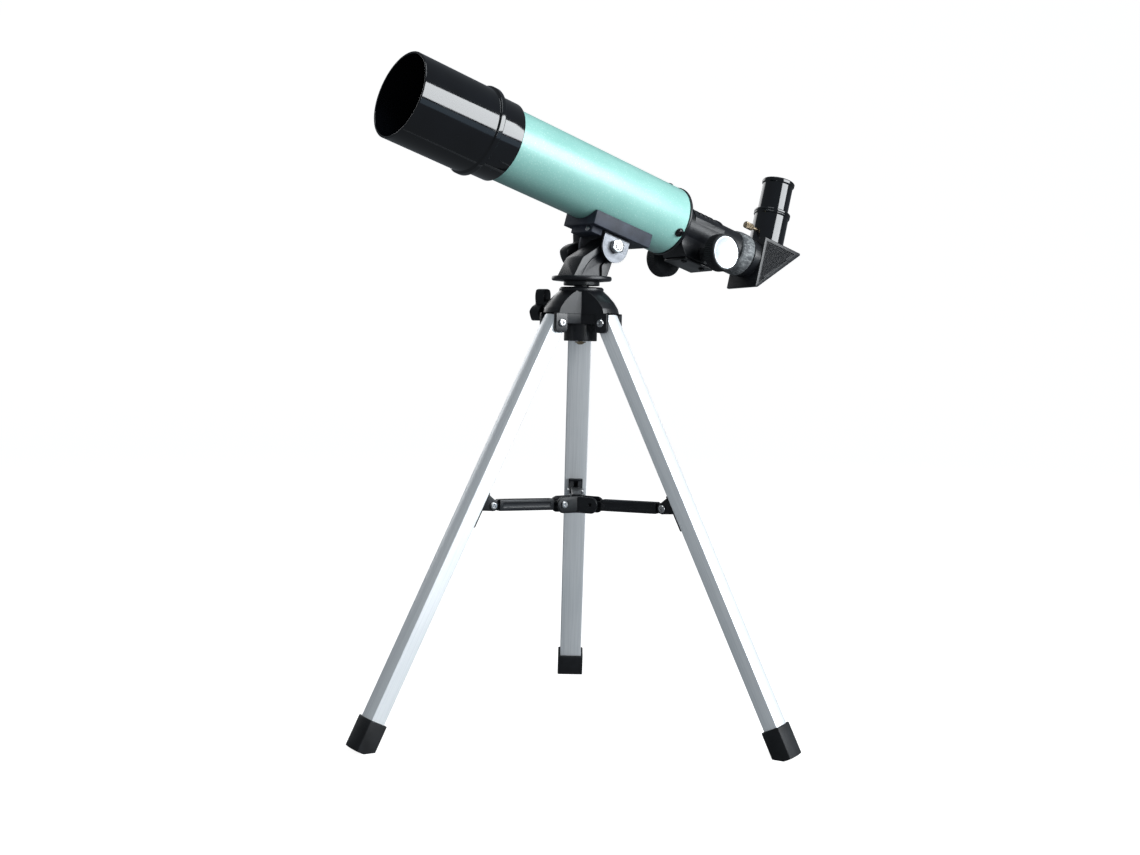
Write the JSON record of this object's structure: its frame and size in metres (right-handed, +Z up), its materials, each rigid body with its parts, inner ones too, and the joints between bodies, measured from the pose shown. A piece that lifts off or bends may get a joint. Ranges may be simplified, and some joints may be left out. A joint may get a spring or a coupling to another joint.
{
  "type": "telescope on tripod",
  "caption": "Small refractor telescope with dew shield, star diagonal and eyepiece on a folding three-legged table-top stand with pan and tilt head.",
  "frame": {"origin": "bottom centre of the bounding box at rest, on the surface that the feet stand on", "axes": "+Z up; leg 1 points along +Y, legs 2 and 3 to 210 and 330 degrees; the tube points front-left and upwards, towards -X -Y +Z"},
  "size_m": [0.3662, 0.3226, 0.5172],
  "materials": {
    "satin_black": "satin moulded black plastic",
    "gloss_black": "glossy black",
    "teal_paint": "satin metallic teal paint",
    "leg_aluminium": "satin anodised",
    "black_rubber": "matt black rubber",
    "slate_plastic": "matt dark slate",
    "zinc_sheet": "zinc-plated sheet",
    "bright_screws": "bright plated",
    "black_screws": "black oxide",
    "silver_disc": "bright satin silver",
    "dull_brass": "tarnished brass",
    "scuffed_collar": "scuffed grey-black",
    "optical_glass": "clear optical glass"
  },
  "bodies": {
    "hub": {"tripod_hub": "satin_black", "leg_hinge_pin_1": "bright_screws", "leg_hinge_pin_2": "bright_screws", "leg_hinge_pin_3": "bright_screws"},
    "pan_lock": {"pan_lock_knob": "satin_black"},
    "leg_1": {"leg_tube_1": "leg_aluminium", "foot_cap_1": "black_rubber", "leg_bracket_1": "satin_black", "bracket_screw_1": "bright_screws", "strut_outer_pin_1": "bright_screws"},
    "leg_2": {"leg_tube_2": "leg_aluminium", "foot_cap_2": "black_rubber", "leg_bracket_2": "satin_black", "bracket_screw_2": "bright_screws", "strut_outer_pin_2": "bright_screws"},
    "leg_3": {"leg_tube_3": "leg_aluminium", "foot_cap_3": "black_rubber", "leg_bracket_3": "satin_black", "bracket_screw_3": "bright_screws", "strut_outer_pin_3": "bright_screws"},
    "strut_1": {"strut_1": "satin_black"},
    "strut_2": {"strut_2": "satin_black"},
    "strut_3": {"strut_3": "satin_black"},
    "spider": {"spreader_spider": "satin_black", "spider_pin_1": "bright_screws", "spider_pin_2": "bright_screws", "spider_pin_3": "bright_screws"},
    "pan": {"pan_head": "satin_black", "pan_pivot_screw": "dull_brass"},
    "optical_tube": {"tilt_bracket": "zinc_sheet", "tube_saddle": "slate_plastic", "saddle_screw": "bright_screws", "tilt_bolt": "bright_screws", "tilt_nut": "bright_screws", "main_tube": "teal_paint", "tube_screw_1": "black_screws", "tube_screw_2": "black_screws", "tube_screw_3": "black_screws", "objective_cell": "gloss_black", "objective_lens": "optical_glass", "lens_retaining_ring": "satin_black", "dew_shield": "gloss_black", "focuser_body": "satin_black", "pinion_cover": "satin_black", "pinion_cover_screw_1": "black_screws", "pinion_cover_screw_2": "black_screws"},
    "tilt_clamp": {"tilt_clamp_knob": "satin_black"},
    "focus_tube": {"drawtube": "gloss_black", "drawtube_collar": "scuffed_collar"},
    "focus_knobs": {"focus_shaft": "bright_screws", "focus_knob_left": "black_rubber", "focus_knob_right": "black_rubber", "knob_disc_left": "silver_disc", "knob_disc_right": "silver_disc"},
    "diagonal": {"diagonal_housing": "satin_black", "diagonal_prism": "optical_glass", "eyepiece_holder": "gloss_black"},
    "thumbscrew": {"eyepiece_thumbscrew": "dull_brass"},
    "eyepiece": {"eyepiece_body": "gloss_black", "eyepiece_lens": "optical_glass"}
  },
  "joints": [
    {"name": "leg_fold_1", "type": "hinge", "parent": "hub", "child": "leg_1", "pos_m": [-0.01098, -0.00811, 0.3237], "axis": [-1, 0, 0], "range_deg": [0, 20]},
    {"name": "leg_fold_2", "type": "hinge", "parent": "hub", "child": "leg_2", "pos_m": [-0.03263, -0.04561, 0.3237], "axis": [0.5, -0.866, 0], "range_deg": [0, 20]},
    {"name": "leg_fold_3", "type": "hinge", "parent": "hub", "child": "leg_3", "pos_m": [0.01067, -0.04561, 0.3237], "axis": [0.5, 0.866, 0], "range_deg": [0, 20]},
    {"name": "strut_fold_1", "type": "hinge", "parent": "leg_1", "child": "strut_1", "pos_m": [-0.01098, 0.04539, 0.1807], "axis": [-1, 0, 0], "range_deg": [0, 61.43]},
    {"name": "strut_fold_2", "type": "hinge", "parent": "leg_2", "child": "strut_2", "pos_m": [-0.07896, -0.07236, 0.1807], "axis": [0.5, -0.866, 0], "range_deg": [0, 61.43]},
    {"name": "strut_fold_3", "type": "hinge", "parent": "leg_3", "child": "strut_3", "pos_m": [0.057, -0.07236, 0.1807], "axis": [0.5, 0.866, 0], "range_deg": [0, 61.43]},
    {"name": "spider_slide", "type": "slide", "parent": "hub", "child": "spider", "axis": [0, 0, 1], "range_m": [0, 0.05373]},
    {"name": "pan_lock_turn", "type": "hinge", "parent": "hub", "child": "pan_lock", "pos_m": [-0.04216, -0.01511, 0.336], "axis": [-0.866, 0.5, 0], "range_deg": [0, 180]},
    {"name": "pan_turn", "type": "hinge", "parent": "hub", "child": "pan", "pos_m": [-0.01098, -0.03311, 0.34], "axis": [0, 0, 1], "continuous": true},
    {"name": "tilt", "type": "hinge", "parent": "pan", "child": "optical_tube", "pos_m": [0.00607, -0.0205, 0.38521], "axis": [0.5945, -0.8041, 0], "range_deg": [-45, 26]},
    {"name": "tilt_clamp_turn", "type": "hinge", "parent": "optical_tube", "child": "tilt_clamp", "pos_m": [-0.01058, 0.00201, 0.38521], "axis": [-0.5945, 0.8041, 0], "range_deg": [0, 180]},
    {"name": "focus_travel", "type": "slide", "parent": "optical_tube", "child": "focus_tube", "axis": [0.7725, 0.5712, -0.2777], "range_m": [0, 0.036]},
    {"name": "focus_knob_turn", "type": "hinge", "parent": "optical_tube", "child": "focus_knobs", "pos_m": [0.08295, 0.03537, 0.38306], "axis": [-0.6034, 0.7964, -0.0402], "range_deg": [0, 455]},
    {"name": "diagonal_turn", "type": "hinge", "parent": "focus_tube", "child": "diagonal", "pos_m": [0.13424, 0.07427, 0.3839], "axis": [0.7725, 0.5712, -0.2777], "continuous": true},
    {"name": "thumbscrew_turn", "type": "hinge", "parent": "diagonal", "child": "thumbscrew", "pos_m": [0.13361, 0.07526, 0.413], "axis": [-0.7725, -0.5712, 0.2777], "range_deg": [0, 180]},
    {"name": "eyepiece_slide", "type": "slide", "parent": "diagonal", "child": "eyepiece", "axis": [0.1982, 0.1986, 0.9598], "range_m": [0, 0.02]}
  ],
  "couplings": [
    {"joint": "leg_fold_2", "follows": "leg_fold_1", "ratio": 1},
    {"joint": "leg_fold_3", "follows": "leg_fold_1", "ratio": 1},
    {"joint": "strut_fold_1", "follows": "leg_fold_1", "ratio": 3.0712},
    {"joint": "strut_fold_2", "follows": "leg_fold_1", "ratio": 3.0712},
    {"joint": "strut_fold_3", "follows": "leg_fold_1", "ratio": 3.0712},
    {"joint": "spider_slide", "follows": "leg_fold_1", "m_per_rad": 0.15388},
    {"joint": "focus_knob_turn", "follows": "focus_travel", "rad_per_m": 220}
  ]
}
